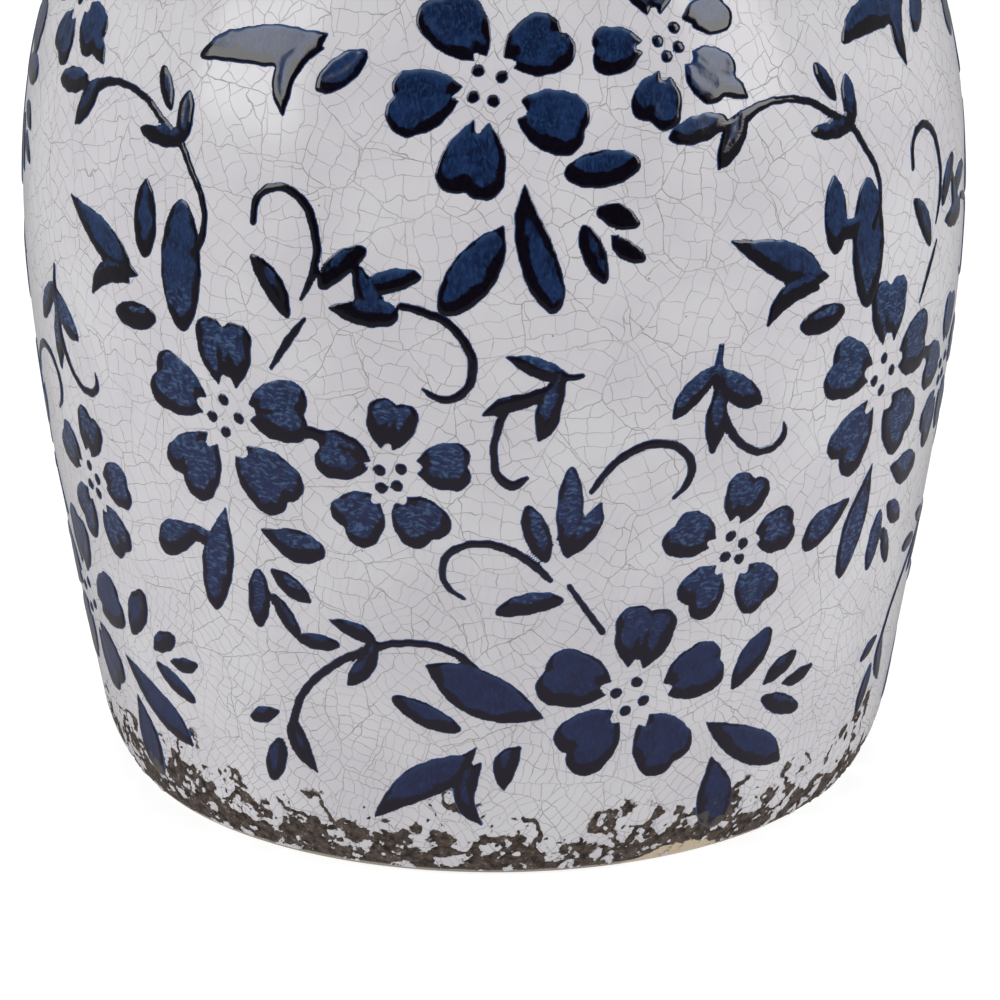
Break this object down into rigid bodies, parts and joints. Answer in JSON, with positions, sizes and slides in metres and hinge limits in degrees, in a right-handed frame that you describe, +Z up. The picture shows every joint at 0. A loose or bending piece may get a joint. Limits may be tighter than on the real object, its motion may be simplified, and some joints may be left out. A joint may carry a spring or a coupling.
{
  "type": "painted stoneware vase",
  "caption": "Wide-bellied stoneware vase with a short neck and rolled lip, crackle glazed, with raised blue flower painting and a worn base.",
  "frame": {"origin": "centre of the foot ring's underside, on the surface the vase stands on", "axes": "+Z up along the vase's axis; -Y is the painted side that the picture shows, and +X is to the right of it"},
  "size_m": [0.23, 0.23, 0.3],
  "materials": {
    "clay": "matte",
    "crackle_glaze": "gloss",
    "lining_glaze": "gloss",
    "cobalt_enamel": "gloss"
  },
  "bodies": {
    "root": {"foot_ring": "clay", "base_slab": "clay", "lower_wall": "clay", "belly_wall": "clay", "shoulder_wall": "clay", "neck": "clay", "rolled_lip": "clay", "outer_glaze": "crackle_glaze", "inner_glaze": "lining_glaze"}
  },
  "joints": []
}
